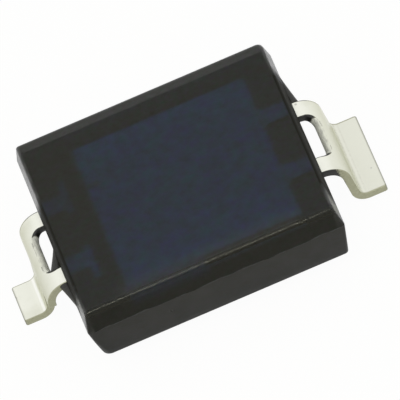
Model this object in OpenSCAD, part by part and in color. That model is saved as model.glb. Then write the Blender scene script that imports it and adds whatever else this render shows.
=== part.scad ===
// Surface-mount infrared photodiode: a silicon chip on a slotted metal carrier,
// moulded into a black filter resin block, with two gull-wing leads.
// Millimetres. The feet stand on z = 0, the origin is under the middle of the block,
// +X points to the carrier lead and +Z is the way the chip looks.

/* [Resin body] */
// Length of the block along X, at its parting line
body_length = 4.4; // [4.2:0.05:4.8]
// Width of the block along Y, at its parting line
body_width = 3.9; // [3.6:0.05:4.4]
// Height of the block above its parting line
upper_height = 0.38; // [0.34:0.01:0.5]
// Height of the block below its parting line
lower_height = 0.8; // [0.6:0.01:0.9]
// Draft of the side walls above the parting line, in degrees
upper_draft = 13; // [4:0.5:16]
// Draft of the side walls below the parting line, in degrees
lower_draft = 8; // [3:0.5:9]
// Radius of the edge round the top face
top_edge_r = 0.06; // [0.02:0.01:0.08]
// Radius of the edge round the underside
bottom_edge_r = 0.03; // [0.01:0.01:0.05]
// Gap between the underside and the seating plane
standoff = 0.25; // [0.1:0.01:0.35]

/* [Leads] */
// Thickness of the metal strip
lead_t = 0.13; // [0.1:0.01:0.18]
// Width of each lead across its two legs
lead_w = 1.58; // [1.4:0.02:1.8]
// Width of the slot between the two legs
slot_w = 0.9; // [0.7:0.02:1.1]
// Radius of the slot's corners
slot_r = 0.14; // [0.05:0.01:0.2]
// Angle by which the slot runs on into the upper bend, in degrees
slot_wrap = 38; // [20:1:50]
// Straight run from the block to the upper bend
lead_run = 0.01; // [0:0.005:0.1]
// Inside radius of the upper bend
upper_bend_r = 0.28; // [0.15:0.01:0.32]
// Inside radius of the lower bend
lower_bend_r = 0.14; // [0.08:0.01:0.18]
// Steepness of the lead between its bends, in degrees
lead_slope = 85; // [78:1:88]
// Overall length over both feet
overall_length = 6.15; // [6:0.05:6.6]

/* [Carrier lead] */
// Length of the die pad along X
pad_length = 3.03; // [3:0.01:3.2]
// Width of the die pad along Y
pad_width = 3.07; // [3:0.01:3.2]
// Distance of the die pad's middle from the block's middle, towards the carrier lead
pad_shift = 0.15; // [0.1:0.01:0.2]
// Fillet where the legs leave the die pad
pad_fillet = 0.1; // [0.05:0.01:0.15]

/* [Bond lead] */
// Width of the narrow foot
bond_foot_w = 0.75; // [0.6:0.05:1]
// Sideways shift of the narrow foot
bond_foot_shift = -0.07; // [-0.12:0.01:0.12]
// Height of the crossbar's lower edge above the seating plane
crossbar_height = 0.6; // [0.45:0.01:0.65]
// Gap between the die pad and the anchors
anchor_gap = 0.27; // [0.2:0.01:0.3]
// Size of an anchor along X
anchor_t = 0.13; // [0.1:0.01:0.16]
// Reach of an anchor past the outer side of its leg
anchor_out = 0.27; // [0.1:0.01:0.4]
// Reach of an anchor past the inner side of its leg
anchor_in = 0.08; // [0.02:0.01:0.2]

/* [Chip] */
// Side of the square silicon chip
chip_w = 2.9; // [2.6:0.05:2.95]
// Thickness of the chip
chip_t = 0.15; // [0.12:0.01:0.2]
// Thickness of the adhesive under the chip
attach_t = 0.02; // [0.01:0.005:0.03]
// Reach of the adhesive past the chip on each side
attach_rim = 0.03; // [0.01:0.01:0.04]

/* [Bond wire] */
// Diameter of the bond wire
wire_d = 0.03; // [0.02:0.002:0.04]
// Radius of the turn above the ball
wire_turn_r = 0.06; // [0.04:0.005:0.07]
// Diameter of the ball that holds the wire on the chip
ball_d = 0.08; // [0.06:0.01:0.1]
// Height of the ball
ball_h = 0.02; // [0.01:0.005:0.03]
// Distance of the ball from the chip's edge
ball_inset = 0.15; // [0.1:0.01:0.3]

/* [Resin webs] */
// Reach of a web of resin along the side of a leg
web_reach = 0.13; // [0.04:0.01:0.18]
// Length of a web along the outside of the block
web_run = 0.5; // [0.1:0.02:0.6]
// Reach of the web in the bond lead's slot
slot_web_reach = 0.19; // [0.04:0.01:0.22]
// Length of the web in the bond lead's slot
slot_web_run = 0.44; // [0.1:0.02:0.5]

/* [Hidden] */
$fn = 48;

resin_colour = [0.18, 0.18, 0.17];
tin_colour = [0.87, 0.87, 0.81];
silicon_colour = [0.17, 0.21, 0.3];
adhesive_colour = [0.62, 0.62, 0.6];
gold_colour = [0.85, 0.68, 0.32];

// How far a cutting shape runs past what it cuts
cut_margin = 0.05;

// Levels: the metal strip's upper face lies in the parting plane
bottom_z = standoff;
parting_z = bottom_z + lower_height;
top_z = parting_z + upper_height;
strip_z = parting_z - lead_t;
chip_z = parting_z + attach_t;
chip_top_z = chip_z + chip_t;

// Side profile of a lead: two bends joined by a steep straight part
bend_x = body_length / 2 + lead_run;
outer_bend_r = upper_bend_r + lead_t;
slope_normal = [sin(lead_slope), cos(lead_slope)];
slope_run = [cos(lead_slope), -sin(lead_slope)];
upper_axis = [bend_x, parting_z - outer_bend_r];
lower_axis_z = lower_bend_r + lead_t;
axis_reach = outer_bend_r + lower_bend_r;
slope_length = (upper_axis.y + axis_reach * slope_normal.y - lower_axis_z) / sin(lead_slope);
lower_axis = upper_axis + axis_reach * slope_normal + slope_length * slope_run;
foot_end = overall_length / 2;

// Plan of the strip
leg_w = (lead_w - slot_w) / 2;
pad_left = pad_shift - pad_length / 2;
pad_right = pad_shift + pad_length / 2;
anchor_x = pad_left - anchor_gap;

// Loop of the wire: a turn above the ball, then a straight run down to the anchor
wire_y = slot_w / 2 + leg_w / 2;
ball_x = pad_shift - chip_w / 2 + ball_inset;
ball_top_z = chip_top_z + ball_h;
turn_axis = [ball_x - wire_turn_r, ball_top_z];
stitch = [anchor_x - anchor_t / 2, parting_z];
to_stitch = stitch - turn_axis;
run_length = sqrt(to_stitch * to_stitch - wire_turn_r * wire_turn_r);

// The turn's angle is kept to hundredths of a degree, so that the turn and the run share one round face
turn_to_run = atan2(to_stitch.y, to_stitch.x) + 360 - acos(wire_turn_r / norm(to_stitch));
turn_end = round(100 * turn_to_run) / 100;

// Section across the block, width wide at its parting line and drafted both ways from there
module block_section(width) {
    half = width / 2;
    top_inset = (upper_height - top_edge_r) * tan(upper_draft) + top_edge_r / cos(upper_draft);
    bottom_inset = (lower_height - bottom_edge_r) * tan(lower_draft) + bottom_edge_r / cos(lower_draft);
    top_centre = [half - top_inset, top_z - top_edge_r];
    bottom_centre = [half - bottom_inset, bottom_z + bottom_edge_r];
    for (side = [0, 1])
        mirror([side, 0]) {
            polygon([
                [0, bottom_z],
                [bottom_centre.x, bottom_z],
                bottom_centre + bottom_edge_r * [cos(lower_draft), -sin(lower_draft)],
                [half, parting_z],
                top_centre + top_edge_r * [cos(upper_draft), sin(upper_draft)],
                [top_centre.x, top_z],
                [0, top_z]
            ]);
            translate(top_centre) circle(r = top_edge_r);
            translate(bottom_centre) circle(r = bottom_edge_r);
        }
}

// The moulded block: where its lengthwise and crosswise sections run through each other,
// so its upright corners are crisp
module body_block() {
    intersection() {
        rotate([90, 0, 0])
            linear_extrude(body_width + 2 * cut_margin, center = true)
                block_section(body_length);
        rotate([90, 0, 90])
            linear_extrude(body_length + 2 * cut_margin, center = true)
                block_section(body_width);
    }
}

// Thin triangle of resin left in the corner between the block and a leg.
// side is the end of the block, edge_y the leg's face, and a negative run points to -Y.
module resin_web(side, edge_y, reach, run) {
    translate([side * body_length / 2, edge_y, strip_z])
        linear_extrude(lead_t)
            polygon([
                [-side * cut_margin, 0],
                [side * reach, 0],
                [0, run],
                [-side * cut_margin, run]
            ]);
}

// Region under a face of the metal strip that lies depth below its upper face
module under_face(depth, from_x, to_x, base_z) {
    upper_r = outer_bend_r - depth;
    lower_r = lower_bend_r + depth;
    difference() {
        union() {
            polygon([
                [from_x, base_z],
                [from_x, parting_z - depth],
                [bend_x, parting_z - depth],
                upper_axis + upper_r * slope_normal,
                lower_axis - lower_r * slope_normal,
                [lower_axis.x, lead_t - depth],
                [to_x, lead_t - depth],
                [to_x, base_z]
            ]);
            translate(upper_axis) circle(r = upper_r);
        }
        translate(lower_axis) circle(r = lower_r);
    }
}

// Side profile of a lead, from x = inner_x inside the block to the end of its foot
module lead_profile(inner_x) {
    difference() {
        under_face(0, inner_x, foot_end, -cut_margin);
        under_face(lead_t, inner_x - cut_margin, foot_end + cut_margin, -2 * cut_margin);
    }
}

// Slot in plan: runs from x = -length to a round-cornered end at x = 0
module slot_tongue(length) {
    translate([-length, -slot_w / 2]) square([length - slot_r, slot_w]);
    translate([-length, slot_r - slot_w / 2]) square([length, slot_w - 2 * slot_r]);
    for (y = [-1, 1])
        translate([-slot_r, y * (slot_w / 2 - slot_r)]) circle(r = slot_r);
}

// Slot of a lead: straight through the flat part from x = inner_x, with round corners there,
// and on into the upper bend, where its end is punched square to the strip
module lead_slot(inner_x) {
    low = upper_bend_r * cos(slot_wrap) - cut_margin;
    high = outer_bend_r + cut_margin;
    translate([inner_x, 0, strip_z - cut_margin])
        linear_extrude(lead_t + 2 * cut_margin)
            mirror([1, 0]) slot_tongue(bend_x - inner_x);
    translate([upper_axis.x, 0, upper_axis.y])
        rotate([0, slot_wrap, 0])
            translate([0, 0, low])
                linear_extrude(high - low)
                    slot_tongue(outer_bend_r * sin(slot_wrap) + cut_margin);
}

// Bent strip of a lead on the +X side
module lead_strip(inner_x) {
    rotate([90, 0, 0])
        linear_extrude(lead_w, center = true)
            lead_profile(inner_x);
}

// Plan of the die pad, with fillets where the legs leave it
module pad_plan() {
    translate([pad_left, -pad_width / 2]) square([pad_length, pad_width]);
    for (y = [0, 1])
        mirror([0, y])
            translate([pad_right, lead_w / 2])
                difference() {
                    translate([-cut_margin, -cut_margin]) square(pad_fillet + cut_margin);
                    translate([pad_fillet, pad_fillet]) circle(r = pad_fillet);
                }
}

// Plan of the anchor at the inner end of one of the bond lead's legs, drawn towards +X
module anchor_plan() {
    translate([-anchor_x, slot_w / 2 - anchor_in]) square([anchor_t, leg_w + anchor_in + anchor_out]);
}

module filter_body() {
    color(resin_colour)
        difference() {
            union() {
                body_block();
                resin_web(1, lead_w / 2, web_reach, web_run);
                resin_web(-1, -lead_w / 2, web_reach, -web_run);
                resin_web(-1, -slot_w / 2, slot_web_reach, slot_web_run);
            }
            carrier_lead();
            bond_lead();
            die_attach();
            photodiode_chip();
            bond_wire();
        }
}

module carrier_lead() {
    color(tin_colour)
        difference() {
            union() {
                translate([0, 0, strip_z]) linear_extrude(lead_t) pad_plan();
                lead_strip(pad_right - pad_fillet);
            }
            lead_slot(pad_right);
        }
}

module bond_lead() {
    foot_sides = [bond_foot_shift - bond_foot_w / 2, bond_foot_shift + bond_foot_w / 2];
    shoulder_reach = lead_w / 2 + cut_margin;
    color(tin_colour)
        mirror([1, 0, 0]) {
            translate([0, 0, strip_z])
                linear_extrude(lead_t)
                    for (y = [0, 1])
                        mirror([0, y]) anchor_plan();
            difference() {
                lead_strip(-anchor_x);
                lead_slot(-anchor_x - slot_r - cut_margin);
                translate([bend_x, -shoulder_reach, -cut_margin])
                    cube([foot_end, foot_sides[0] + shoulder_reach, crossbar_height + cut_margin]);
                translate([bend_x, foot_sides[1], -cut_margin])
                    cube([foot_end, shoulder_reach - foot_sides[1], crossbar_height + cut_margin]);
            }
        }
}

module photodiode_chip() {
    color(silicon_colour)
        translate([pad_shift - chip_w / 2, -chip_w / 2, chip_z])
            cube([chip_w, chip_w, chip_t]);
}

module die_attach() {
    attach_w = chip_w + 2 * attach_rim;
    color(adhesive_colour)
        translate([pad_shift - attach_w / 2, -attach_w / 2, parting_z])
            cube([attach_w, attach_w, attach_t]);
}

// Ball on the chip, a turn, and a straight run cut off flat on the anchor
module bond_wire() {
    color(gold_colour)
        translate([0, wire_y, 0])
            difference() {
                union() {
                    translate([ball_x, 0, chip_top_z]) cylinder(d = ball_d, h = ball_h);
                    translate([turn_axis.x, 0, turn_axis.y])
                        rotate([90, 0, 0])
                            rotate_extrude(angle = turn_end)
                                translate([wire_turn_r, 0]) circle(d = wire_d);
                    translate([turn_axis.x, 0, turn_axis.y])
                        rotate([0, -turn_end, 0])
                            translate([wire_turn_r, 0, 0])
                                cylinder(d = wire_d, h = run_length + wire_d);
                }
                translate([stitch.x - anchor_t, -anchor_t, parting_z - anchor_t])
                    cube([2 * anchor_t, 2 * anchor_t, anchor_t]);
            }
}

filter_body();
carrier_lead();
bond_lead();
photodiode_chip();
die_attach();
bond_wire();
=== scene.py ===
# %% [markdown]
# # A surface-mount infrared photodiode
# The real part is a silicon chip on a punched metal strip, moulded into a block of black resin that stops
# daylight and lets infrared through. Two bent leads carry it on a circuit board. This lesson dresses the
# packed solids: the resin, the two leads and the adhesive under the chip become fine surfaces worked out
# with numpy. The chip and its wire stay as the solids that they are, seen dimly through the resin.

import bmesh
import bpy
import numpy as np
from mathutils import Matrix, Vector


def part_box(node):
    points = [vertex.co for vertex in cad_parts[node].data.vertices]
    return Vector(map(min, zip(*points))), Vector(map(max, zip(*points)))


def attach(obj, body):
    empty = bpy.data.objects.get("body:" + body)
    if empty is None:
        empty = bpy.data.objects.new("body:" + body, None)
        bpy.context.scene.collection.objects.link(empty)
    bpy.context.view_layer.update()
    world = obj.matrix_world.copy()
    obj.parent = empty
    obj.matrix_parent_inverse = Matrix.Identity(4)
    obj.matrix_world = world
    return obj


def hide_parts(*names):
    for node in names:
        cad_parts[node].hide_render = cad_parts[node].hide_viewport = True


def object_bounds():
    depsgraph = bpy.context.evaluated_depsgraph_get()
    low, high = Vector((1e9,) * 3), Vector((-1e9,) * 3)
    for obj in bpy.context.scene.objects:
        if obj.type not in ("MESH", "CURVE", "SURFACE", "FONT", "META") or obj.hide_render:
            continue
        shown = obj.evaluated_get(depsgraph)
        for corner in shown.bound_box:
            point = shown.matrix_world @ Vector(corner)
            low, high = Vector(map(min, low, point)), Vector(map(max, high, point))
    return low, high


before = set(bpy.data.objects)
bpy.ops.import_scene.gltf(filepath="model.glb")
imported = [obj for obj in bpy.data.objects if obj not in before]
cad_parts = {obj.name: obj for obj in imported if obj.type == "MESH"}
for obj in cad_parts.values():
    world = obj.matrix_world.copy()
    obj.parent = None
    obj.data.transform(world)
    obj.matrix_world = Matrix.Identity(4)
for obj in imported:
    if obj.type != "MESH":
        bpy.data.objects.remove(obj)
cad_low, cad_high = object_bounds()
print("nodes in the frame:", sorted(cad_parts))

# %% [markdown]
# ## Sizes
# Every shape below is worked out in millimetres, because the whole object is only six of them long. The
# heights come from the frame: the adhesive lies on the metal strip, and the strip's upper face lies in
# the plane where the two halves of the mould meet. The other values are the driving sizes of the part.

# %% Sizes in millimetres
MM = 0.001
BODY = "root"

body_low, body_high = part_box("filter_body")
bottom_z = body_low.z / MM
top_z = body_high.z / MM
parting_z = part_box("die_attach")[0].z / MM
body_width = (body_high.y - body_low.y) / MM
body_length = 4.4
upper_draft = np.radians(13)
lower_draft = np.radians(7)
top_edge_r = 0.08
bottom_edge_r = 0.03
print(f"block {body_length:.2f} x {body_width:.2f} mm, {bottom_z:.2f} to {top_z:.2f} mm above the board")
print(f"parting line at {parting_z:.2f} mm")

# %% [markdown]
# ## From a grid of points to a mesh
# A surface with two parameters is a grid of points: rows along one parameter, columns along the other.
# Four neighbours make a face. Where rows meet in a point, or where two halves share an edge, the doubles
# are merged afterwards, and the normals are turned outwards.

# %% Mesh helpers
MERGE_DISTANCE = 2e-9


def grid_quads(rows, columns, closed=False):
    """Corner numbers of the faces between neighbours of a grid, which may close round its columns."""
    number = np.arange(rows * columns).reshape(rows, columns)
    if closed:
        number = np.concatenate([number, number[:, :1]], axis=1)
    corners = [number[:-1, :-1], number[1:, :-1], number[1:, 1:], number[:-1, 1:]]
    return np.stack(corners, axis=-1).reshape(-1, 4)


def make_piece(name, points, quads, marks=None):
    """Makes an object at the origin from points in millimetres and their faces, welded and facing outwards.

    marks is a dictionary of one value per point, kept on the mesh as named attributes. Points that no
    face uses are left out first.
    """
    used, quads = np.unique(quads, return_inverse=True)
    mesh = bpy.data.meshes.new(name)
    mesh.from_pydata((points[used] * MM).tolist(), [], quads.reshape(-1, 4).tolist())
    for mark, values in (marks or {}).items():
        layer = mesh.attributes.new(mark, "FLOAT", "POINT")
        layer.data.foreach_set("value", values[used].astype(np.float32))
    work = bmesh.new()
    work.from_mesh(mesh)
    bmesh.ops.remove_doubles(work, verts=work.verts, dist=MERGE_DISTANCE)
    bmesh.ops.dissolve_degenerate(work, edges=work.edges, dist=MERGE_DISTANCE)
    bmesh.ops.recalc_face_normals(work, faces=work.faces)
    open_edges = sum(not e.is_manifold for e in work.edges)
    work.to_mesh(mesh)
    work.free()
    mesh.polygons.foreach_set("use_smooth", np.ones(len(mesh.polygons), bool))
    piece = bpy.data.objects.new(name, mesh)
    bpy.context.scene.collection.objects.link(piece)
    print(f"{name}: {len(mesh.polygons)} faces, {open_edges} open edges")
    return piece


def arc_points(centre, radius, start, stop, count):
    """Points on a circle: centre + radius * (cosine, sine), for count angles from start to stop."""
    angle = np.linspace(start, stop, count)
    return np.asarray(centre) + radius * np.column_stack([np.cos(angle), np.sin(angle)])


print(f"3 by 4 points make {len(grid_quads(3, 4))} faces, or {len(grid_quads(3, 4, True))} if closed")

# %% [markdown]
# ## The resin block
# The block was cast between two mould halves, so its walls lean in above and below the parting line. Its
# upright corners are crisp but for one, which is worn under that line. Its flats end in small round
# edges, and the back of the upper face slopes a little. One way to make it is a box with bevels. Here it
# is a section carried round a rectangle: each point of the section knows how far it lies inside the
# parting line, and the rectangle shrinks by that much, so that walls, edges and corners come out of one
# formula.

# %% Section of the block
half_size = np.array([body_length, body_width]) / 2
upper_height = top_z - parting_z
lower_height = parting_z - bottom_z
low_inset = (lower_height - bottom_edge_r) * np.tan(lower_draft) + bottom_edge_r / np.cos(lower_draft)
high_inset = (upper_height - top_edge_r) * np.tan(upper_draft) + top_edge_r / np.cos(upper_draft)
CREASE = 0.004
FLAT_RIM = 0.2
LOW_EDGE_ROWS = 6
LOW_WALL_ROWS = 8
HIGH_WALL_ROWS = 6
TOP_EDGE_ROWS = 12
FLAT_RIM_ROWS = 21


def block_section():
    """Rows of (inset, height) from the underside to the top, along walls and round edges.

    A wall is a straight line to the parting line at inset 0. An edge is an arc tangent to its wall and to
    the flat: its centre lies radius / cos(draft) further in than the wall at the arc's own height.
    """
    low_centre = (-low_inset, bottom_z + bottom_edge_r)
    high_centre = (-high_inset, top_z - top_edge_r)
    low_arc = arc_points(low_centre, bottom_edge_r, -np.pi / 2, -lower_draft, LOW_EDGE_ROWS)
    high_arc = arc_points(high_centre, top_edge_r, upper_draft, np.pi / 2, TOP_EDGE_ROWS)
    parting = np.array([0, parting_z])
    share = np.concatenate([np.linspace(0, 1, LOW_WALL_ROWS)[1:-1], [1 - CREASE / lower_height]])[:, None]
    low_wall = low_arc[-1] + share * (parting - low_arc[-1])
    share = np.concatenate([[CREASE / upper_height], np.linspace(0, 1, HIGH_WALL_ROWS)[1:-1]])[:, None]
    high_wall = parting + share * (high_arc[0] - parting)
    flat = high_inset + np.linspace(0, FLAT_RIM, FLAT_RIM_ROWS)[1:]
    margin = np.column_stack([-flat, np.full(len(flat), top_z)])
    start = [[-low_inset - FLAT_RIM, bottom_z]]
    rows = np.concatenate([start, low_arc, low_wall, [parting], high_wall, high_arc, margin])
    return -rows[:, 0], rows[:, 1]


print(f"section: {len(block_section()[0])} rows, top edge {high_inset:.3f} mm inside the parting line")


# %% Plan of the block
def block_plan(corner_values, corner_steps=8, side_steps=40):
    """Stations round the block: a place as a share of the half sizes, the way outward and corner values.

    The place stays on a corner while the direction turns through 90 degrees, then slides along a side,
    where the values go over from one corner's to the next one's.
    """
    quarter = np.linspace(0, np.pi / 2, corner_steps)
    slide = np.linspace(0, 1, side_steps + 2)[1:-1, None]
    places, outward, values = [], [], []
    for corner, sign in enumerate([(1, 1), (-1, 1), (-1, -1), (1, -1)]):
        here, following = np.array(sign), np.array((-sign[1], sign[0]))
        angle = quarter + corner * np.pi / 2
        around = np.column_stack([np.cos(angle), np.sin(angle)])
        places += [np.tile(here, (corner_steps, 1)), here + slide * (following - here)]
        outward += [around, np.tile(around[-1], (side_steps, 1))]
        value, next_value = corner_values[corner], corner_values[(corner + 1) % 4]
        values += [np.tile(value, (corner_steps, 1)), value + slide * (next_value - value)]
    return np.concatenate(places), np.concatenate(outward), np.concatenate(values)


print(f"plan: {len(block_plan(np.zeros((4, 1)))[0])} stations round the block")

# %% Small departures from the plain block
back_run = 0.1
back_slope = np.tan(np.radians(20))
back_push = 1.6
ripple_length = np.array([1.7, 0.61, 0.33])
ripple_start = np.array([0.6, 2.1, 0.0])
ripple_height = np.array([0.012, 0.011, 0.007])
ripple_fade = 0.06
ripple_ends = 0.2


def lower_back(points):
    """Slopes the back of the upper face: past its crease, each height above the parting plane shrinks.

    The fall is the distance behind the crease times the slope. The edge moves out by back_push times its
    fall.
    """
    crease = half_size[1] - high_inset - back_run
    fall = np.clip(points[..., 1] - crease, 0, back_run + top_edge_r / 2) * back_slope
    rise = np.maximum(points[..., 2] - parting_z, 0) / upper_height
    return points + (fall * rise)[..., None] * (0, back_push, -1)


def wave_parting(points):
    """Makes the parting line a little wavy on the front and back walls, as the seam of a mould comes out.

    The line rises by a sum of sines of x. The rise fades with the distance from the line as a bell curve
    does, and towards the two ends of the wall.
    """
    angle = 2 * np.pi * points[..., :1] / ripple_length + ripple_start
    rise = np.sum(ripple_height * np.sin(angle), axis=-1)
    near = np.exp(-((points[..., 2] - parting_z) / ripple_fade) ** 2)
    on_wall = np.abs(points[..., 1]) > half_size[1] - high_inset
    ends = np.clip((half_size[0] - np.abs(points[..., 0])) / ripple_ends, 0, 1)
    return points + (rise * near * on_wall * ends)[..., None] * (0, 0, 1)


print(f"back edge falls by up to {(back_run + top_edge_r / 2) * back_slope:.3f} mm")

# %% Skin of the block
corner_r = np.array([0.09, 0.04, 0.035, 0.035])
worn_corner = np.array([0.0, 0.0, 0.11, 0.03])
end_ease = 0.025
end_inset = high_inset - end_ease
FLAT_RINGS = 14


def block_skin():
    """Points place * (half size - inset - radius) + radius * outward at each height of the section.

    A corner's radius grows by its wear with the square of the depth under the parting line. The two end
    walls stand a little steeper above it: they gain end_ease by the time they reach the upper face. The
    two flats are the section's first and last ring scaled down to a point.
    """
    inset, height = block_section()
    place, outward, value = block_plan(np.column_stack([corner_r, worn_corner]))
    shrink = np.linspace(1, 0, FLAT_RINGS)[1:]
    size = np.concatenate([shrink[::-1], np.ones(len(inset)), shrink])[:, None, None]
    rings = (len(shrink), len(shrink))
    inset = np.pad(inset, rings, mode="edge")
    level = np.pad(height, rings, mode="edge")
    ease = np.where(level > parting_z, end_ease * np.clip(inset / high_inset, 0, 1), 0)
    inset = np.column_stack([inset - ease, inset])[:, None]
    deep = np.maximum(parting_z - level, 0)[:, None, None] / lower_height
    radius = value[:, :1] + value[:, 1:] * deep**2
    plan = size * (place * (half_size - inset - radius) + radius * outward)
    tall = np.broadcast_to(level[:, None, None], plan.shape[:2] + (1,))
    points = wave_parting(lower_back(np.concatenate([plan, tall], axis=2)))
    return points.reshape(-1, 3), grid_quads(len(size), len(place), closed=True)


skin = make_piece("filter_block", *block_skin())
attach(skin, BODY)
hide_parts("filter_body")

# %% [markdown]
# ## The strip that both leads are bent from
# A lead is flat metal that runs out of the block, turns down through the upper bend, drops steeply, and
# turns out again into a foot. Its upper face is a line in the side view: two arcs joined by straight
# stretches. A point of the flat strip is given by its distance s along that line, its place y across, and
# its depth under the upper face. Working on the flat strip keeps the punched outline simple, and one
# formula then bends all points at once.

# %% Bending the strip
strip_t = 0.13
lead_w = 1.58
slot_w = 0.9
outer_bend_r = 0.41
lower_bend_r = 0.14
lead_slope = np.radians(85)
foot_end = cad_high.x / MM

upper_arc = outer_bend_r * lead_slope
lower_arc = lower_bend_r * lead_slope
drop = parting_z - strip_t
slope_run = (drop - (outer_bend_r + lower_bend_r) * (1 - np.cos(lead_slope))) / np.sin(lead_slope)
bend_reach = (outer_bend_r + lower_bend_r) * np.sin(lead_slope) + slope_run * np.cos(lead_slope)


def strip_end(bend_x):
    """Length along the strip from the start of the upper bend, at x = bend_x, to the end of the foot."""
    return upper_arc + slope_run + lower_arc + foot_end - bend_x - bend_reach


def bend_strip(bend_x, s, y, depth):
    """Bends the flat strip: s is 0 where the upper bend starts, at x = bend_x.

    The tilt grows by s / outer_bend_r over the upper arc, stays on the slope and falls by
    s / lower_bend_r over the lower arc. Each stretch adds its own chord, and depth goes against the
    normal (sin tilt, cos tilt).
    """
    first = np.clip(s, 0, upper_arc) / outer_bend_r
    slope = np.clip(s - upper_arc, 0, slope_run)
    second = np.clip(s - upper_arc - slope_run, 0, lower_arc) / lower_bend_r
    tilt = first - second
    x = bend_x + np.minimum(s, 0) + outer_bend_r * np.sin(first) + slope * np.cos(lead_slope)
    x += lower_bend_r * (np.sin(lead_slope) - np.sin(lead_slope - second))
    x += np.maximum(s - upper_arc - slope_run - lower_arc, 0) - depth * np.sin(tilt)
    z = parting_z - outer_bend_r * (1 - np.cos(first)) - slope * np.sin(lead_slope)
    z += lower_bend_r * (np.cos(lead_slope) - np.cos(lead_slope - second)) - depth * np.cos(tilt)
    return np.stack([x, y, z], axis=-1)


print(f"strip: upper arc {upper_arc:.3f} mm, slope {slope_run:.3f} mm, lower arc {lower_arc:.3f} mm")

# %% [markdown]
# ## Punched outlines
# Punching leaves the strip with slightly rolled edges. One half of a lead, from its middle line outwards,
# is a row of cross-sections. Each runs from an inner line (the slot's edge, or the middle line where
# there is no slot) to an outer line (the lead's edge), over a rounded rim and back along the underside.
# The other half is mirrored, and the two are welded along the middle.


# %% Lines of a punched outline
def run(start, stop, count):
    """A straight stretch of an outline: count points, the last left out, and their constant direction."""
    start, stop = np.asarray(start, float), np.asarray(stop, float)
    points = start + np.linspace(0, 1, count, endpoint=False)[:, None] * (stop - start)
    return points, np.tile((stop - start) / np.linalg.norm(stop - start), (count, 1))


def runs(stations, y, counts):
    """Straight stretches along the strip at one y, from each station to the next one by its count."""
    return [run((start, y), (stop, y), n) for start, stop, n in zip(stations, stations[1:], counts)]


def turn(centre, radius, start, stop, count):
    """A round stretch of an outline from angle start to stop in degrees: count points without the last."""
    angle = np.radians(np.linspace(start, stop, count, endpoint=False))
    around = np.column_stack([np.cos(angle), np.sin(angle)])
    along = np.sign(stop - start) * np.column_stack([-around[:, 1], around[:, 0]])
    return np.asarray(centre) + radius * around, along


def outline(stretches, metal):
    """Joins stretches into points and directions into the metal, left of the way for 1, right for -1."""
    points = np.concatenate([p for p, _ in stretches])
    along = np.concatenate([d for _, d in stretches])
    return points, metal * np.column_stack([-along[:, 1], along[:, 0]])


print("a quarter turn in three points:", turn((0, 0), 1.0, 90, 0, 3)[0].round(2).tolist())

# %% Cross-sections of half a lead
RIM = 0.014
SLOT_ROLL = 0.06
ROUND = 5
quarter = np.linspace(0, np.pi / 2, ROUND)
across = np.array([0.03, 0.12, 0.3, 0.5, 0.7, 0.88, 0.97])
# For each point of a section's upper half: its share of the way across, its part of the inner and of the
# outer rim, how far it sinks, and whether the punch cut it.
SHARE = np.concatenate([np.zeros(ROUND), across, np.ones(ROUND)])
INNER = np.concatenate([np.cos(quarter), np.zeros(len(across) + ROUND)])
OUTER = np.concatenate([np.ones(ROUND + len(across)), 1 - np.sin(quarter)])
SINK = np.concatenate([1 - np.sin(quarter), np.zeros(len(across)), 1 - np.cos(quarter)])
PUNCHED = np.concatenate([np.ones(ROUND), np.zeros(len(across)), np.ones(ROUND)])
HALF = len(SHARE)


def half_lead(inner, outer, end_s):
    """Surface of half a lead on the flat strip: points (s, y, depth), faces and marks of punched edges.

    inner and outer are outlines with as many points. Where the inner one runs along y = 0 it is the
    middle line and has no rim, and at end_s the strip's end is rolled over. A section's upper half goes
    from the inner rim over the face to the outer rim. Its rim points lie at RIM * (1 - cosine) and
    RIM * (1 - sine) from the edge, and the lower half is the same at strip_t - depth. The inner rim
    widens to SLOT_ROLL where the metal lies straight ahead in s.
    """
    (inner_points, inner_in), (outer_points, outer_in) = inner, outer
    rows = len(inner_points)
    middle = (inner_points[:, 1] == 0) & (inner_in[:, 0] == 0)
    roll = RIM + (SLOT_ROLL - RIM) * np.maximum(inner_in[:, 0], 0)
    inner_rim = np.where(middle, 0, roll)[:, None, None]
    low = inner_points[:, None] + inner_rim * (1 - INNER)[None, :, None] * inner_in[:, None]
    high = outer_points[:, None] + RIM * OUTER[None, :, None] * outer_in[:, None]
    plan = low + SHARE[None, :, None] * (high - low)
    end = np.clip((plan[..., 0] - (end_s - RIM)) / RIM, 0, 1)
    rolled = RIM * (1 - np.sqrt(1 - end**2))
    upper = np.maximum(np.where(SHARE == 0, roll[:, None], RIM) * SINK, rolled)
    lower = strip_t - np.maximum(RIM * SINK, rolled)
    plan = np.concatenate([plan, plan[:, ::-1]], axis=1)
    depth = np.concatenate([upper, lower[:, ::-1]], axis=1)
    points = np.concatenate([plan, depth[..., None]], axis=2).reshape(-1, 3)
    quads = grid_quads(rows, 2 * HALF, closed=True).reshape(rows - 1, 2 * HALF, 4)
    column = np.arange(2 * HALF)
    inside = (column < ROUND - 1) | (column >= 2 * HALF - ROUND)
    open_rows = middle[:-1] | middle[1:]
    quads = quads[~(open_rows[:, None] & inside[None, :])]
    caps = []
    for row in (0, rows - 1):
        first = ROUND - 1 if middle[row] else 0
        j = np.arange(first, HALF - 1)
        base = row * 2 * HALF
        caps.append(base + np.column_stack([j, j + 1, 2 * HALF - 2 - j, 2 * HALF - 1 - j]))
    marks = np.tile(np.concatenate([PUNCHED, PUNCHED[::-1]]), (rows, 1))
    marks[middle, :ROUND] = 0
    marks[middle, -ROUND:] = 0
    marks[np.abs(inner_points[:, 0] - end_s) < RIM / 2] = 1
    return points, np.concatenate([quads, *caps]), marks.ravel()


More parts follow.
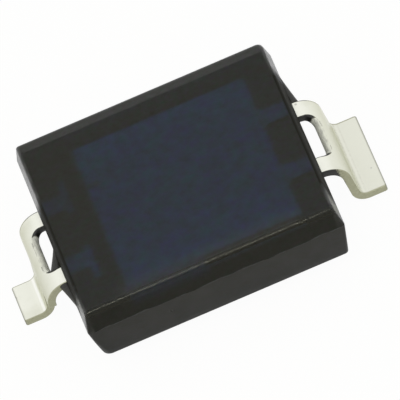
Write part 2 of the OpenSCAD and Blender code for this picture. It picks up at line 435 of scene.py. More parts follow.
def whole_lead(name, halves, bend_x, side):
    """Mirrors the second half of a lead to -Y, joins and bends both, and sets them on the block's side."""
    points, quads, marks, start = [], [], [], 0
    for mirror, (flat, faces, mark) in zip((1, -1), halves):
        bent = bend_strip(bend_x, flat[:, 0], mirror * flat[:, 1], flat[:, 2]) * (side, 1, 1)
        points.append(bent)
        quads.append(faces + start)
        marks.append(mark)
        start += len(bent)
    punched = {"punched": np.concatenate(marks)}
    return make_piece(name, np.concatenate(points), np.concatenate(quads), punched)


print(f"a cross-section of half a lead has {2 * HALF} points")

# %% [markdown]
# ## The carrier lead
# This lead goes on inside the block as the die pad that the chip is glued to. Its slot starts at the pad
# and ends in the upper bend, and its foot is as wide as its two legs. The bending tool never sets two
# leads quite alike, so each has its own start of the bend. The stretches that both leads share are
# functions: the slot's outer end, the leg beside it and the foot. An inner and an outer line need as many
# points, so each stretch of one has its partner with the same count in the other.

# %% Stretches that both leads share
slot_half = slot_w / 2
lead_half = lead_w / 2
slot_end_r = 0.2
leg_s = -0.2
fan = 0.18
fan_step = 0.01
foot_corner = 0.04
FOOT_ROWS = 100


def slot_line(slot_end):
    """The slot's edge from the leg at leg_s round its outer end to the middle line."""
    return [
        run((leg_s, slot_half), (slot_end - slot_end_r, slot_half), 16),
        turn((slot_end - slot_end_r, slot_half - slot_end_r), slot_end_r, 90, 0, 10),
        run((slot_end, slot_half - slot_end_r), (slot_end, 0), 8),
        run((slot_end, 0), (slot_end, -1), 1),
    ]


def leg_line(slot_end):
    """The leg's outer edge beside slot_line. Past the slot's end, the rows fan out over a length of fan."""
    fan_end = slot_end + fan
    stations = (leg_s, slot_end - slot_end_r, slot_end, fan_end, fan_end + fan_step)
    return runs(stations, lead_half, (16, 10, 8, 1))


def foot_line(start, end_s, y):
    """The last stretch of an outline, to the end of the foot, with close rows where the end is rolled over.

    Over the last foot_corner of its length an outer line turns in along a quarter of a circle.
    """
    plain = np.linspace(start, end_s - RIM, FOOT_ROWS)
    stations = np.concatenate([plain, end_s - RIM * (1 - np.sin(quarter[1:]))])
    turned = np.clip((stations - end_s) / foot_corner + 1, 0, 1)
    points = np.column_stack([stations, y - np.sign(y) * foot_corner * (1 - np.sqrt(1 - turned**2))])
    return points, np.tile([1.0, 0.0], (len(stations), 1))


print(f"legs {lead_half - slot_half:.2f} mm wide, on both sides of a slot of {slot_w:.2f} mm")

# %% Carrier lead
pad_left = -1.365
pad_right = 1.665
pad_half = 1.535
pad_fillet = 0.1
pad_slot_r = 0.12
fillet_step = 0.03
carrier_bend_x = 2.193
carrier_slot_end = outer_bend_r * np.radians(41)


def carrier_half():
    """Outlines of the carrier lead's half: pad, inner end of the slot, leg, outer end of the slot, foot."""
    pad_x = pad_right - carrier_bend_x
    pad_start = pad_left - carrier_bend_x
    round_end = pad_x + pad_slot_r
    slot_end = carrier_slot_end
    end_s = strip_end(carrier_bend_x)
    inner = [
        *runs((pad_start, pad_x - fan, pad_x - RIM), 0, (12, 8)),
        run((pad_x, 0), (pad_x, slot_half - pad_slot_r), 6),
        turn((round_end, slot_half - pad_slot_r), pad_slot_r, 180, 90, 6),
        run((round_end, slot_half), (leg_s, slot_half), 10),
        *slot_line(slot_end),
        foot_line(slot_end + SLOT_ROLL, end_s, 0),
    ]
    outer = [
        run((pad_start, pad_half), (pad_x, pad_half), 12),
        run((pad_x, pad_half), (pad_x, lead_half + pad_fillet), 8),
        turn((pad_x + pad_fillet, lead_half + pad_fillet), pad_fillet, 180, 270, 6),
        *runs((pad_x + pad_fillet, round_end + fillet_step, leg_s), lead_half, (6, 10)),
        *leg_line(slot_end),
        foot_line(slot_end + fan + fan_step, end_s, lead_half),
    ]
    return half_lead(outline(inner, 1), outline(outer, -1), end_s)


half = carrier_half()
carrier = whole_lead("carrier_strip", (half, half), carrier_bend_x, 1)
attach(carrier, BODY)
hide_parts("carrier_lead")

# %% [markdown]
# ## The bond lead
# The second lead ends inside the block in two anchors, one on each leg, and the bond wire lands on one of
# them. Outside, a crossbar joins the legs above a foot that is much narrower and sits a little off the
# middle. It is made as the first lead was, with a shoulder in its outer line, and its two halves differ
# only in their feet.

# %% Bond lead
anchor_x = (1.635, 1.765)
anchor_y = (0.37, 1.06)
anchor_step = 0.03
crossbar_z = 0.6
crossbar_run = 0.1
middle_step = 0.02
foot_low, foot_high = -0.445, 0.305
shoulder_r = 0.03
bond_bend_x = 2.207
bond_slot_end = outer_bend_r * np.radians(35)
slope_top_z = parting_z - outer_bend_r * (1 - np.cos(lead_slope))
crossbar_s = upper_arc + (slope_top_z - crossbar_z) / np.sin(lead_slope)


def bond_half(foot_half):
    """Outlines of the bond lead's half: anchor, leg, slot end, crossbar, shoulder, narrow foot."""
    near, far = (x - bond_bend_x for x in anchor_x)
    inner_y, outer_y = anchor_y
    slot_end = bond_slot_end
    end_s = strip_end(bond_bend_x)
    past_crossbar = crossbar_s + middle_step * np.arange(3)
    middle_line = (slot_end + SLOT_ROLL, crossbar_s - crossbar_run, *past_crossbar)
    inner = [
        *runs((near, far - anchor_step, far), inner_y, (4, 4)),
        run((far, inner_y), (far, slot_half), 4),
        run((far, slot_half), (leg_s, slot_half), 10),
        *slot_line(slot_end),
        *runs(middle_line, 0, (12, 5, 8, 5)),
        foot_line(middle_line[-1], end_s, 0),
    ]
    outer = [
        run((near, outer_y), (far, outer_y), 4),
        run((far, outer_y), (far, lead_half), 4),
        *runs((far, far + anchor_step, leg_s), lead_half, (4, 10)),
        *leg_line(slot_end),
        run((slot_end + fan + fan_step, lead_half), (crossbar_s - shoulder_r, lead_half), 12),
        turn((crossbar_s - shoulder_r, lead_half - shoulder_r), shoulder_r, 90, 0, 5),
        run((crossbar_s, lead_half - shoulder_r), (crossbar_s, foot_half + shoulder_r), 8),
        turn((crossbar_s + shoulder_r, foot_half + shoulder_r), shoulder_r, 180, 270, 5),
        foot_line(crossbar_s + shoulder_r, end_s, foot_half),
    ]
    return half_lead(outline(inner, 1), outline(outer, -1), end_s)


bond = whole_lead("bond_strip", (bond_half(foot_high), bond_half(-foot_low)), bond_bend_x, -1)
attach(bond, BODY)
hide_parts("bond_lead")

# %% [markdown]
# ## Webs of resin
# Where a leg leaves the mould, a little resin squeezes out along the parting plane and sets as a thin
# dark triangle between the leg and the block. A flat triangle with thickness would do, but a real one has
# a hollow outer side and a soft edge. Here a section with a round outer side is carried along the block
# and shrinks to nothing.

# %% Webs
web_sink = 0.05
web_hollow = 1.1
BULGE_STEPS = 9


def resin_web(side, edge_y, widest, length, stations=24):
    """A section carried along Y from a leg's edge: at the share u it reaches widest * (1 - u)^web_hollow.

    Each section is a loop: from inside the block over the strip's upper plane, round the outer side, and
    back below.
    """
    u = np.linspace(0, 1, stations)
    reach = widest * (1 - u) ** web_hollow
    bulge = arc_points((0.5, 0.5), 0.5, np.pi / 2, -np.pi / 2, BULGE_STEPS)
    loop = np.concatenate([[[0, 1], [0.5, 1]], bulge, [[0.5, 0], [0, 0]]])
    x = -web_sink + loop[None, :, 0] * (web_sink + reach)[:, None]
    y = np.broadcast_to((edge_y + length * u)[:, None], x.shape)
    z = np.broadcast_to(parting_z - strip_t * (1 - loop[None, :, 1]), x.shape)
    points = np.stack([side * (body_length / 2 + x), y, z], axis=-1).reshape(-1, 3)
    columns = len(loop)
    j = np.arange(columns // 2)
    # A cap's outermost face is a tiny triangle with one corner named twice, and the weld may lose it.
    cap = np.column_stack([j, j + 1, columns - 2 - j, columns - 1 - j])
    last = (stations - 1) * columns
    return points, np.concatenate([grid_quads(stations, columns, closed=True), cap, cap + last])


# Side of the block, y of the leg's edge, widest reach, and length along Y.
web_places = {
    "carrier": (1, lead_half, 0.115, 0.64),
    "bond": (-1, -lead_half, 0.13, -0.5),
    "bond_slot": (-1, -slot_half, 0.19, 0.44),
}
webs = []
for place, values in web_places.items():
    web = make_piece(f"resin_web_{place}", *resin_web(*values))
    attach(web, BODY)
    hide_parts("filter_body")
    webs.append(web)

# %% [markdown]
# ## The adhesive's fillet
# Silver-filled adhesive creeps up the sides of the chip while it is soft and sets as a hollow fillet. A
# thin box would leave the chip's sides bare. Here a section is carried round the chip's square outline:
# where it reaches past the chip, the corners turn round by themselves.

# %% Fillet
chip_low, chip_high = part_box("photodiode_chip")
chip_middle = np.array([chip_low.x + chip_high.x, chip_low.y + chip_high.y]) / 2 / MM
chip_half = (chip_high.x - chip_low.x) / 2 / MM
chip_z = chip_low.z / MM
fillet_reach = 0.065
fillet_rise = 0.165
fillet_hollow = 1.3
CHIP_GAP = 0.002
FILLET_ROWS = 9


def adhesive_fillet():
    """Rings middle + share * (place * half side) + reach * outward, from the pad up and back inwards.

    The side is a little hollow: at the share u of its height it still reaches
    fillet_reach * (1 - u)^fillet_hollow.
    """
    place, outward, _ = block_plan(np.zeros((4, 1)))
    u = np.linspace(0, 1, FILLET_ROWS)
    reach = np.concatenate([[0], CHIP_GAP + fillet_reach * (1 - u) ** fillet_hollow, [CHIP_GAP, 0]])
    rise = np.concatenate([[0], fillet_rise * u, [chip_z - parting_z, chip_z - parting_z]])
    share = np.concatenate([[0], np.ones(len(u) + 1), [0]])
    plan = chip_middle + share[:, None, None] * place * chip_half + reach[:, None, None] * outward
    tall = np.broadcast_to((parting_z + rise)[:, None, None], plan.shape[:2] + (1,))
    points = np.concatenate([plan, tall], axis=2).reshape(-1, 3)
    return points, grid_quads(len(share), len(place), closed=True)


fillet = make_piece("adhesive_fillet", *adhesive_fillet())
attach(fillet, BODY)
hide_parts("die_attach")

# %% [markdown]
# ## Words for the look of things
# A material is a graph of small nodes. Written node by node it gets long, so this class has one short
# word for each usual step: add, multiply, carry a value from one range to another, mix two colours. A
# material then reads from top to bottom like a recipe. All patterns are measured in millimetres of the
# object's own coordinates.


# %% Look
class Look:
    """The node graph of one material, node group or world, with a short word for each step."""

    def __init__(self, tree, output_kind):
        self.tree = tree
        self.output = self.add(output_kind)

    def add(self, kind, inputs=None, **settings):
        """Adds a node with its properties, and fills its inputs by name or number with values or links."""
        made = self.tree.nodes.new(kind)
        for key, value in settings.items():
            setattr(made, key, value)
        for key, value in (inputs or {}).items():
            if isinstance(value, bpy.types.NodeSocket):
                self.tree.links.new(value, made.inputs[key])
            else:
                made.inputs[key].default_value = value
        return made

    def give(self, result, socket="Surface"):
        """Links a shader or a value to the graph's output."""
        self.tree.links.new(result, self.output.inputs[socket])

    def maths(self, operation, *values):
        """Takes values together, one after the other, by the same operation."""
        held = values[0]
        for value in values[1:]:
            held = self.add("ShaderNodeMath", {0: held, 1: value}, operation=operation).outputs[0]
        return held

    def plus(self, *values):
        """The sum of values."""
        return self.maths("ADD", *values)

    def minus(self, first, second):
        """The first value less the second."""
        return self.maths("SUBTRACT", first, second)

    def times(self, *values):
        """The product of values."""
        return self.maths("MULTIPLY", *values)

    def most(self, *values):
        """The largest of values."""
        return self.maths("MAXIMUM", *values)

    def away(self, value, place=0.0):
        """How far a value is from a place, on either side."""
        return self.maths("ABSOLUTE", self.minus(value, place), 0.0)

    def spread(self, value, low, high, to_low=0.0, to_high=1.0):
        """Carries a value from one range to another, and holds it there."""
        inputs = {"Value": value, "From Min": low, "From Max": high, "To Min": to_low, "To Max": to_high}
        return self.add("ShaderNodeMapRange", inputs).outputs[0]

    def fade(self, value, low, high, start=1.0):
        """Falls from start to 0 while a value goes from low to high."""
        return self.spread(value, low, high, start, 0.0)

    def mix(self, factor, first, second):
        """Goes from the first value to the second by a factor."""
        return self.add("ShaderNodeMix", {0: factor, 2: first, 3: second}).outputs[0]

    def blend(self, factor, first, second):
        """Goes from the first colour to the second by a factor. Plain colours are (red, green, blue)."""
        first, second = (c if isinstance(c, bpy.types.NodeSocket) else (*c, 1) for c in (first, second))
        return self.add("ShaderNodeMix", {0: factor, 6: first, 7: second}, data_type="RGBA").outputs[2]

    def spot(self):
        """The object's own coordinates, in millimetres."""
        metres = self.add("ShaderNodeTexCoord").outputs["Object"]
        return self.add("ShaderNodeVectorMath", {0: metres, "Scale": 1 / MM}, operation="SCALE").outputs[0]

    def axes(self, vector):
        """The x, y and z of a vector."""
        return tuple(self.add("ShaderNodeSeparateXYZ", {0: vector}).outputs)

    def effect(self, group, spot, **numbers):
        """Places a shared effect and gives its mask."""
        return self.add("ShaderNodeGroup", {"Position": spot, **numbers}, node_tree=group).outputs["Mask"]

    def bump(self, height, strength, depth):
        """A normal that follows a height pattern, whose depth is in millimetres."""
        inputs = {"Height": height, "Strength": strength, "Distance": depth * MM}
        return self.add("ShaderNodeBump", inputs).outputs[0]

    def surface(self, inputs):
        """Adds a Principled BSDF with these inputs and shows it on the surface."""
        self.give(self.add("ShaderNodeBsdfPrincipled", inputs).outputs[0])


def start_material(name):
    """A new material and its look, still empty."""
    material = bpy.data.materials.new(name)
    material.use_nodes = True
    material.node_tree.nodes.clear()
    return material, Look(material.node_tree, "ShaderNodeOutputMaterial")


def wear(piece, material):
    """Puts one material on a piece in place of what it had."""
    piece.data.materials.clear()
    piece.data.materials.append(material)
    print(f"{piece.name} wears {material.name}, {len(material.node_tree.nodes)} nodes")


print("words of a look:", [word for word in vars(Look) if not word.startswith("_")])

# %% [markdown]
# ## Effects that several materials share
# Grain, smears and specks turn up on resin, tin and silicon alike, only finer or coarser. Each is a node
# group: built once, with named inputs, and placed in a material with that material's own numbers.


# %% Groups for grain, smears and specks
def start_group(name, numbers):
    """A shader node group with a position, some named numbers and an output called Mask.

    Gives the group, its look and its inputs.
    """
    group = bpy.data.node_groups.new(name, "ShaderNodeTree")
    group.interface.new_socket("Position", in_out="INPUT", socket_type="NodeSocketVector")
    for socket, value in numbers.items():
        made = group.interface.new_socket(socket, in_out="INPUT", socket_type="NodeSocketFloat")
        made.default_value = value
    group.interface.new_socket("Mask", in_out="OUTPUT", socket_type="NodeSocketFloat")
    look = Look(group, "NodeGroupOutput")
    return group, look, look.add("NodeGroupInput").outputs


grain_group, look, given = start_group("surface_grain", {"Scale": 20.0, "Detail": 3.0})
numbers = {"Vector": given["Position"], "Scale": given["Scale"], "Detail": given["Detail"]}
noise = look.add("ShaderNodeTexNoise", {**numbers, "Roughness": 0.6})
look.give(look.spread(noise.outputs["Fac"], 0.3, 0.7), "Mask")

smear_numbers = {"Scale": 3.0, "Stretch": 6.0, "Start": 0.5, "End": 0.8}
smear_group, look, given = start_group("drawn_smear", smear_numbers)
x, y, z = look.axes(given["Position"])
along = look.maths("DIVIDE", x, given["Stretch"])
drawn = look.add("ShaderNodeCombineXYZ", {"X": along, "Y": y, "Z": z}).outputs[0]
noise = look.add("ShaderNodeTexNoise", {"Vector": drawn, "Scale": given["Scale"], "Detail": 4.0})
look.give(look.spread(noise.outputs["Fac"], given["Start"], given["End"]), "Mask")

speck_group, look, given = start_group("dust_speck", {"Scale": 4.0, "Size": 0.06})
cells = look.add("ShaderNodeTexVoronoi", {"Vector": given["Position"], "Scale": given["Scale"]})
few = look.axes(cells.outputs["Color"])[0]
past_rim = look.minus(cells.outputs["Distance"], look.times(given["Size"], few))
look.give(look.fade(past_rim, 0.0, 0.02), "Mask")
print("shared effects:", [g.name for g in (grain_group, smear_group, speck_group)])

# %% [markdown]
# ## Filter resin
# The resin looks black, but its depth is dark glass: the chip and the strip show through as a dim blue.
# So it is a real glass body with absorption inside rather than black paint. The upper half of the mould
# left a satin skin, which blurs what lies deep, and the lower half a matt one. The front edge is rubbed
# bright and torn, with a little haze behind it. On the end walls a pale bloom ends beside the legs, where
# bled resin is black and dull.

# %% Resin: patterns and zones
seam_rag = 0.03
front_wall_y = (-1.8, -1.75)
# The dark strips end this far from the middle. A shift makes one shorter, or longer where it is below 0.
bled_end = (1.2, 1.5)
back_left_shift = 0.6
front_shift = -0.2
haze_y = (-1.75, -1.45)
haze_x = (1.4, 1.7)
BLOOM = (0.25, 0.85)
HAZE = 0.2
edge_y = high_inset - half_size[1]
edge_z = top_z - top_edge_r
end_x = body_length / 2 - end_inset

resin, look = start_material("filter_resin")
spot = look.spot()
x, y, z = look.axes(spot)
from_x = look.away(x)
from_y = look.away(y)
grain = look.effect(grain_group, spot, Scale=14.0, Detail=4.0)
cloud = look.effect(grain_group, spot, Scale=4.0, Detail=2.0)
mottle = look.effect(grain_group, spot, Scale=5.0, Detail=7.0)
worn = look.effect(grain_group, spot, Scale=5.0, Detail=5.0)
smear = look.effect(smear_group, spot, Scale=1.6, Stretch=1.5, Start=0.45, End=0.75)
speck = look.effect(speck_group, spot, Scale=1.4, Size=0.03)

ragged_z = look.plus(z, look.times(look.plus(grain, cloud), seam_rag))
upper_half = look.spread(ragged_z, parting_z + 0.01, parting_z + 0.03)
front = look.fade(y, *front_wall_y)
front_edge = look.fade(y, edge_y + 0.005, edge_y + 0.015)
front_edge = look.times(front_edge, look.spread(z, edge_z, edge_z + 0.01))
end_wall = look.spread(from_x, end_x, end_x + 0.02)
end_wall = look.times(end_wall, look.spread(z, parting_z - 0.02, parting_z))
back_left = look.times(look.fade(x, -0.1, 0.0, back_left_shift), look.spread(y, 0.0, 0.1))
reach = look.plus(from_y, look.times(cloud, 0.2), back_left, look.fade(y, -0.1, 0.0, front_shift))
bled = look.times(end_wall, look.fade(reach, *bled_end))
bloom = look.times(look.minus(end_wall, bled), look.spread(worn, 0.3, 0.8, *BLOOM))
on_top = look.spread(z, top_z - 0.02, top_z - 0.005)
haze = look.times(look.fade(y, *haze_y, HAZE), on_top, look.fade(from_x, *haze_x))
print(f"resin patterns and zones: {len(look.tree.nodes)} nodes")

# %% Resin: roughness, tint and relief
# The roughness of each zone. The satin stays above 0.275: a pattern that crosses it comes out with dots.
SATIN = 0.277
MATT = 0.42
RUBBED = 0.14
BLED = 0.8
VIOLET = (0.14, 0.165, 0.82)
TEAL = (0.04, 0.35, 0.5)
DEEP_BLUE = (0.02, 0.05, 0.12)
SOOT = (0.008, 0.01, 0.012)
ANCHOR_SHADE = (0.02, 0.03, 0.05)
DUST = (0.4, 0.45, 0.5)
TORN = 9.1

dull = look.plus(look.mix(upper_half, MATT, SATIN), look.times(grain, 0.02))
dull = look.plus(dull, look.times(cloud, front, 0.07), look.times(smear, 0.02))
dull = look.mix(bled, look.mix(front_edge, dull, RUBBED), BLED)

tint = look.blend(cloud, VIOLET, TEAL)
tint = look.blend(look.times(mottle, 0.75), tint, DEEP_BLUE)
# Painted shade: the tint goes darker over the far anchor, so that it looks dimmer through the resin.
far_anchor_shade = look.times(look.fade(x, -1.45, -1.3, 0.5), look.spread(y, -0.3, 0.2))
tint = look.blend(far_anchor_shade, tint, ANCHOR_SHADE)
below_top = look.fade(z, top_z - 0.03, top_z - 0.005, 0.65)
lower_half = look.fade(upper_half, 0.0, 1.0, 0.95)
tint = look.blend(look.most(below_top, lower_half, bled), tint, SOOT)
tint = look.blend(speck, tint, DUST)

torn = look.times(mottle, front, TORN, look.spread(z, edge_z - 0.02, edge_z))
relief = look.plus(look.times(grain, 0.4), speck, torn)
print(f"resin finish: satin {SATIN} above the parting line, matt {MATT} below, rubbed edge {RUBBED}")

# %% Resin: glass and absorption
RESIN_IOR = 1.42
DARKNESS = 2400.0

look.surface({
    "Base Color": tint, "Roughness": dull, "Normal": look.bump(relief, 0.12, 0.004), "IOR": RESIN_IOR,
    "Transmission Weight": 1.0, "Specular Tint": (0.84, 0.83, 0.65, 1),
    "Coat Weight": look.most(bloom, haze), "Coat Roughness": 0.5})
absorption = look.add("ShaderNodeVolumeAbsorption", {"Color": (0, 0, 0, 1), "Density": DARKNESS})
look.give(absorption.outputs[0], "Volume")
wear(skin, resin)

# %% Resin of the thin webs
flash, look = start_material("resin_flash")
grain = look.effect(grain_group, look.spot(), Scale=18.0, Detail=4.0)
look.surface({
    "Base Color": look.blend(grain, (0.012, 0.012, 0.01), (0.03, 0.03, 0.024)),
    "Roughness": look.spread(grain, 0.0, 1.0, 0.3, 0.45),
    "Normal": look.bump(grain, 0.3, 0.006), "IOR": RESIN_IOR})
for web in webs:
    wear(web, flash)

# %% [markdown]
# ## Tinned strip
# The leads are plated with dull tin: a pale, slightly yellowish metal with a soft sheen, faint lines from
# rolling, and smears from handling. The slopes and the foot at +x are greyer with painted shade, thin lines
# of painted shade cross the lower bend above that foot, and a painted highlight runs along the lower bend
# above the other; next to the block the tin is painted plain and lighter. Where the punch cut through, the
# edge is a darker, olive grey, partly the bare copper alloy and partly painted shade, and next to the block
# some of those cut sides carry a black film of resin. The mark that the meshes carry on their punched edges
# and the place on the strip pick the colour, so one material serves both leads.

# %% Tin: patterns and zones
film_x = 2.46
film_y = 0.4
wall_x = body_length / 2

tin, look = start_material("tinned_strip")
spot = look.spot()
x, y, z = look.axes(spot)
from_x = look.away(x)
from_y = look.away(y)
marked = look.add("ShaderNodeAttribute", attribute_name="punched").outputs["Fac"]
grain = look.effect(grain_group, spot, Scale=26.0, Detail=4.0)
lines = look.effect(smear_group, spot, Scale=30.0, Stretch=12.0, Start=0.35, End=0.7)
smear = look.effect(smear_group, spot, Scale=2.4, Stretch=1.6, Start=0.5, End=0.72)
streak = look.effect(smear_group, spot, Scale=7.0, Stretch=0.2, Start=0.45, End=0.7)
speck = look.effect(speck_group, spot, Scale=3.0, Size=0.07)

inside = look.fade(from_x, wall_x - 0.02, wall_x)
beside = look.spread(from_y, film_y - 0.02, film_y)
cut_side = look.most(beside, look.spread(from_x, film_x + 0.04, film_x + 0.06))
punched = look.times(marked, cut_side, look.minus(1.0, inside))
cut = look.spread(marked, 0.5, 0.8)
pressed = look.times(cut, look.minus(1.0, cut_side))
near_left = look.times(look.fade(x, -0.1, 0.0), look.fade(y, -0.7, -0.6))
ragged_x = look.plus(from_x, look.times(grain, 0.06))
film = look.times(look.fade(ragged_x, film_x, film_x + 0.05), beside, cut, look.minus(1.0, near_left))
slope_shade = look.times(look.spread(z, 0.12, 0.25), look.fade(z, 0.8, 1.05))
tip = look.spread(from_x, foot_end - 0.03, foot_end - 0.008, 0.0, 0.75)
print(f"tin patterns and zones: {len(look.tree.nodes)} nodes")

# %% Tin: colour
PLATED = (0.865, 0.87, 0.785)
SMEARED = (0.78, 0.785, 0.69)
RIGHT_FOOT_SHADE = (0.73, 0.735, 0.645)
LEFT_SLOPE_SHADE = (0.63, 0.635, 0.51)
RIGHT_SLOPE_SHADE = (0.69, 0.695, 0.57)
LIGHTER_BY_THE_BLOCK = (0.87, 0.875, 0.79)
SILVERED = (0.88, 0.92, 0.98)
FLECK = (0.6, 0.6, 0.55)
CREASE_SHADE = (0.54, 0.54, 0.46)
FOLD_HIGHLIGHT = (0.96, 0.96, 0.91)
CUT_DARK = (0.34, 0.34, 0.23)
CUT_PALE = (0.42, 0.42, 0.3)
STREAK = (0.36, 0.36, 0.32)
FOOT_TIP = (0.28, 0.28, 0.23)
FILM = (0.012, 0.012, 0.01)
fold_highlight_x = -2.71
crease_shade_lines = ((2.675, 0.7), (2.74, 0.45))

face = look.blend(smear, PLATED, SMEARED)
# Painted shade: the foot at +x is greyer than the rest of the face.
face = look.blend(look.spread(x, 2.6, 2.75, 0.0, 0.7), face, RIGHT_FOOT_SHADE)
# Painted shade: the slopes and bends between the upper face and the feet are greyer, more so at -x.
face = look.blend(slope_shade, face, look.blend(look.spread(x, -0.1, 0.1), LEFT_SLOPE_SHADE, RIGHT_SLOPE_SHADE))
# Painted light: next to the block the face is a plain, lighter tin without smears or painted shade.
face = look.blend(look.fade(from_x, 2.3, 2.4), face, LIGHTER_BY_THE_BLOCK)
face = look.blend(inside, face, SILVERED)
face = look.blend(speck, face, FLECK)
# Painted shade: two thin, ragged dark lines across the lower bend of the lead at +x.
for line_x, strength in crease_shade_lines:
    crease_shaded = look.times(look.fade(look.away(x, line_x), 0.004, 0.022, strength), grain)
    face = look.blend(crease_shaded, face, CREASE_SHADE)
# Painted highlight: a pale line along the lower bend of the lead at -x.
face = look.blend(look.fade(look.away(x, fold_highlight_x), 0.012, 0.035, 0.9), face, FOLD_HIGHLIGHT)
# Partly painted shade: the cut edges are a darker olive grey, partly the bare alloy and partly shade
# painted in.
colour = look.blend(punched, face, look.blend(grain, CUT_DARK, CUT_PALE))
colour = look.blend(look.times(pressed, streak, 0.65), colour, STREAK)
colour = look.blend(tip, colour, FOOT_TIP)
colour = look.blend(film, colour, FILM)
print(f"tin with its colours: {len(look.tree.nodes)} nodes")

# %% Tin: sheen
PLATED_ROUGH = 0.34
CUT_ROUGH = 0.46
INSIDE_ROUGH = 0.75
PRESSED_ROUGH = 0.85

dull = look.mix(inside, look.mix(punched, PLATED_ROUGH, CUT_ROUGH), INSIDE_ROUGH)
dull = look.mix(pressed, dull, PRESSED_ROUGH)
dull = look.plus(dull, look.times(smear, 0.1), look.times(grain, 0.06))
bare = look.minus(look.minus(1.0, film), look.times(pressed, 0.8))
relief = look.plus(look.times(lines, 0.6), look.times(grain, 0.6))
look.surface({
    "Base Color": colour, "Metallic": bare, "Roughness": dull, "Normal": look.bump(relief, 0.15, 0.004)})
wear(carrier, tin)
wear(bond, tin)

# %% [markdown]
# ## Chip, adhesive and wire
# These three lie inside the resin. The chip and the wire keep their solids from the frame. The chip is
# polished silicon under a blue grey layer that keeps light from bouncing off, a little paler at its front
# and back and along the edge where it was sawn. The adhesive is full of silver flakes, and the wire is
# drawn gold with a dull skin.

# %% Silicon material
silicon, look = start_material("silicon")
spot = look.spot()
x, y, _ = look.axes(spot)
from_y = look.away(y)
from_middle = look.most(look.away(x, chip_middle[0]), from_y)
smear = look.effect(smear_group, spot, Scale=1.2, Stretch=1.3, Start=0.35, End=0.75)
grain = look.effect(grain_group, spot, Scale=30.0, Detail=2.0)
blue = look.blend(smear, (0.2, 0.27, 0.325), (0.185, 0.25, 0.3))
blue = look.blend(look.spread(from_y, chip_half - 0.7, chip_half - 0.1), blue, (0.23, 0.325, 0.38))
sawn = look.spread(from_middle, chip_half - 0.01, chip_half - 0.002)
look.surface({
    "Base Color": look.blend(sawn, blue, (0.28, 0.34, 0.4)),
    "Roughness": look.spread(grain, 0.0, 1.0, 0.3, 0.4), "IOR": 1.5})
wear(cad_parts["photodiode_chip"], silicon)

# %% Adhesive and wire materials
adhesive, look = start_material("silver_adhesive")
flakes = look.effect(grain_group, look.spot(), Scale=60.0, Detail=2.0)
look.surface({
    "Base Color": look.blend(flakes, (0.9, 0.9, 0.88), (0.96, 0.96, 0.94)),
    "Roughness": look.spread(flakes, 0.0, 1.0, 0.65, 0.5)})
wear(fillet, adhesive)

gold, look = start_material("gold_wire")
lines = look.effect(smear_group, look.spot(), Scale=90.0, Stretch=8.0, Start=0.3, End=0.7)
look.surface({
    "Base Color": look.blend(lines, (0.42, 0.33, 0.17), (0.5, 0.39, 0.2)), "Metallic": 1.0,
    "Roughness": look.spread(lines, 0.0, 1.0, 0.4, 0.5)})
wear(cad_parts["bond_wire"], gold)

# %% [markdown]
# ## Camera
# The photograph was taken from far away with a long lens, so its edges stay almost parallel. The camera
# stands in front of the block, looks down at about fifty degrees, and is rolled, which tilts the part in
# the picture. Its place is worked out from those three angles, the picture's scale and the spot in the
# middle of the picture.

# %% Camera
PICTURE_PIXELS = 400
elevation, azimuth, roll = np.radians([50.58, -0.03, 23.15])
pixels_per_mm = 62.86
distance = 150.0
look_at = np.array([0, 0, 0.8])
right_pixels, up_pixels = 16.68, 1.32

forward = np.array([np.sin(azimuth), np.cos(azimuth), 0]) * np.cos(elevation) - (0, 0, np.sin(elevation))
level = np.array([np.cos(azimuth), -np.sin(azimuth), 0.0])
upward = np.cross(level, forward)
picture_x = np.cos(roll) * level - np.sin(roll) * upward
picture_y = np.sin(roll) * level + np.cos(roll) * upward
aim = look_at + (right_pixels * picture_x + up_pixels * picture_y) / pixels_per_mm

lens = bpy.data.cameras.new("studio_camera")
lens.sensor_width = 36.0
lens.lens = pixels_per_mm * distance / PICTURE_PIXELS * lens.sensor_width
lens.clip_start = 0.01
lens.clip_end = 10.0
camera = bpy.data.objects.new("studio_camera", lens)
stand = np.eye(4)
stand[:3, 0], stand[:3, 1], stand[:3, 2] = picture_x, picture_y, -forward
stand[:3, 3] = (aim - distance * forward) * MM
camera.matrix_world = Matrix(stand.tolist())
bpy.context.scene.collection.objects.link(camera)
bpy.context.scene.camera = camera
print(f"camera: lens {lens.lens:.1f} mm, {distance:.0f} mm away")

# %% [markdown]
# ## Floor
# The part lies on white paper. A white floor under soft light would still come out pale grey. So for rays
# that show the background, straight to the camera or by way of metal and glass, most of it is plain
# white, and the rest keeps the shadow. From below the floor is clear, so that the underside can be looked
# at.

# %% Floor
FLOOR_HALF = 500.0
WHITE_SHARE = 0.96


def background_rays(look):
    """1 for rays that show the background: straight to the camera, or by way of metal or glass."""
    rays = look.add("ShaderNodeLightPath").outputs
    return look.most(rays["Is Camera Ray"], rays["Is Glossy Ray"], rays["Is Transmission Ray"])


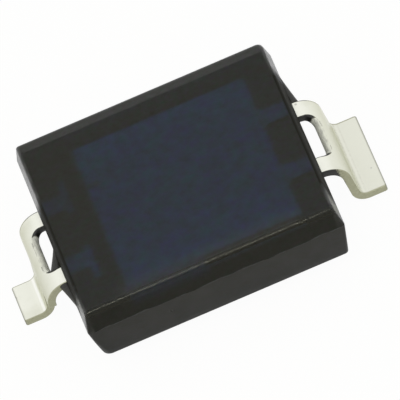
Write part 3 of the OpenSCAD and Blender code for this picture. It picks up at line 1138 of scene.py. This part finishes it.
corner = np.array([[-1, -1, 0], [1, -1, 0], [1, 1, 0], [-1, 1, 0]]) * FLOOR_HALF
paper_sheet = make_piece("white_floor", corner, np.array([[0, 1, 2, 3]]))
paper, look = start_material("white_paper")
fibre = look.effect(grain_group, look.spot(), Scale=2.0, Detail=3.0)
fibre_tint = look.blend(fibre, (0.79, 0.79, 0.67), (0.81, 0.81, 0.69))
lit = look.add("ShaderNodeBsdfDiffuse", {"Color": fibre_tint})
white = look.add("ShaderNodeEmission", {"Color": (1, 1, 1, 1), "Strength": 1.0})
seen = look.times(background_rays(look), WHITE_SHARE)
upper = look.add("ShaderNodeMixShader", {0: seen, 1: lit.outputs[0], 2: white.outputs[0]})
clear = look.add("ShaderNodeBsdfTransparent")
under = look.add("ShaderNodeNewGeometry").outputs["Backfacing"]
both = look.add("ShaderNodeMixShader", {0: under, 1: upper.outputs[0], 2: clear.outputs[0]})
look.give(both.outputs[0])
wear(paper_sheet, paper)

# %% [markdown]
# ## Light
# A light tent surrounds the part, almost evenly bright and a little darker towards the horizon. Two small
# lamps add the thin bright lines on the block's edges: one from above the camera for the front edge, one
# from behind.

# %% Tent
HORIZON_LIGHT, OVERHEAD_LIGHT = 0.85, 0.93
OVERHEAD = 0.7

tent = bpy.data.worlds.new("light_tent")
tent.use_nodes = True
tent.node_tree.nodes.clear()
look = Look(tent.node_tree, "ShaderNodeOutputWorld")
up = look.axes(look.add("ShaderNodeTexCoord").outputs["Generated"])[2]
bright = look.spread(up, 0.0, OVERHEAD, HORIZON_LIGHT, OVERHEAD_LIGHT)
strength = look.mix(background_rays(look), bright, 1.0)
sky = look.add("ShaderNodeBackground", {"Color": (1, 1, 1, 1), "Strength": strength})
look.give(sky.outputs[0])
bpy.context.scene.world = tent
print(f"tent: {HORIZON_LIGHT} at the horizon, {OVERHEAD_LIGHT} overhead")


# %% Lamps
def place_lamp(name, place, size, energy):
    """A round lamp of some watts at a place in metres, turned to the origin."""
    lamp = bpy.data.lights.new(name, "AREA")
    lamp.shape = "DISK"
    lamp.size = size
    lamp.energy = energy
    made = bpy.data.objects.new(name, lamp)
    moved = Matrix.Translation(place)
    made.matrix_world = moved @ moved.translation.to_track_quat("Z", "Y").to_matrix().to_4x4()
    bpy.context.scene.collection.objects.link(made)
    print(f"{name}: {energy} W")


place_lamp("front_lamp", place=(-0.02, -0.08, 0.29), size=0.1, energy=0.12)
place_lamp("edge_lamp", place=(0.0, 0.272, 0.127), size=0.06, energy=0.003)
bpy.context.scene.view_settings.view_transform = "Standard"

# %% [markdown]
# ## End
